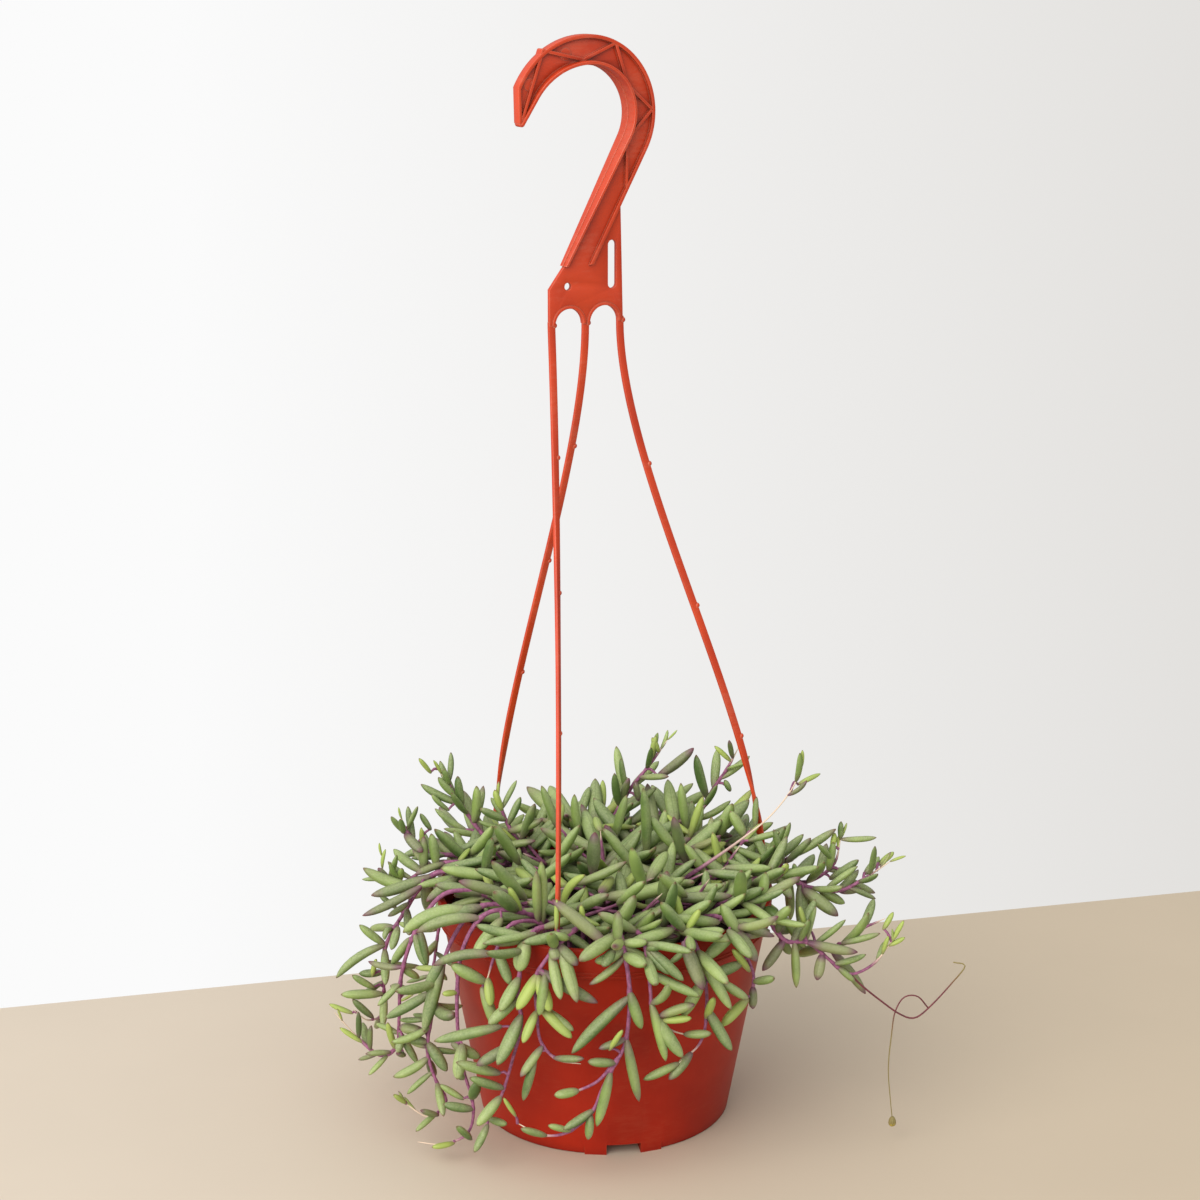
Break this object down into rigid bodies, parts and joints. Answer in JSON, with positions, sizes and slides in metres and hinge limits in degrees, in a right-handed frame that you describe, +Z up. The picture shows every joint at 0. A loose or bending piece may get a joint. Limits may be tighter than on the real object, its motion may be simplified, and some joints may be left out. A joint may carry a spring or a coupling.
{
  "type": "potted trailing succulent in a hanging nursery pot",
  "caption": "String of rubies, a trailing succulent with fat spindle leaves on purple stems, in a red plastic nursery pot with a clip-on hook hanger.",
  "frame": {"origin": "centre of the pot's underside, on the surface that the pot stands on", "axes": "+Z up; -Y towards the viewer of the front; +X to the viewer's right"},
  "size_m": [0.2699, 0.1927, 0.4442],
  "materials": {
    "pot_plastic": "brick-red polypropylene, satin, faintly scuffed",
    "hanger_plastic": "bright red moulded polypropylene, soft gloss",
    "peat": null,
    "leaf_skin": null,
    "stalk_skin": null
  },
  "bodies": {
    "root": {"crown_shoot_01": "leaf_skin", "crown_shoot_02": "leaf_skin", "crown_shoot_03": "leaf_skin", "crown_shoot_04": "leaf_skin", "crown_shoot_05": "leaf_skin", "crown_shoot_06": "leaf_skin", "crown_shoot_07": "leaf_skin", "crown_shoot_08": "leaf_skin", "crown_shoot_09": "leaf_skin", "crown_shoot_10": "leaf_skin", "crown_shoot_11": "leaf_skin", "crown_shoot_12": "leaf_skin", "crown_shoot_13": "leaf_skin", "crown_shoot_14": "leaf_skin", "crown_shoot_15": "leaf_skin", "crown_shoot_16": "leaf_skin", "crown_shoot_17": "leaf_skin", "crown_shoot_18": "leaf_skin", "flower_stalk": "stalk_skin", "hanger": "hanger_plastic", "pot": "pot_plastic", "potting_soil": "peat", "spreading_stem_left_1": "leaf_skin", "spreading_stem_left_2": "leaf_skin", "spreading_stem_right_1": "leaf_skin", "spreading_stem_right_2": "leaf_skin", "spreading_stem_right_3": "leaf_skin", "trailing_stem_back_1": "leaf_skin", "trailing_stem_back_2": "leaf_skin", "trailing_stem_back_3": "leaf_skin", "trailing_stem_back_4": "leaf_skin", "trailing_stem_front_1": "leaf_skin", "trailing_stem_front_2": "leaf_skin", "trailing_stem_front_3": "leaf_skin", "trailing_stem_front_4": "leaf_skin", "trailing_stem_front_5": "leaf_skin", "trailing_stem_front_6": "leaf_skin", "trailing_stem_left_1": "leaf_skin", "trailing_stem_left_2": "leaf_skin", "trailing_stem_left_3": "leaf_skin", "trailing_stem_left_4": "leaf_skin", "trailing_stem_right_1": "leaf_skin", "upright_stem_back_1": "leaf_skin", "upright_stem_back_2": "leaf_skin", "upright_stem_left_1": "leaf_skin", "upright_stem_left_2": "leaf_skin", "upright_stem_right_1": "leaf_skin"}
  },
  "joints": []
}
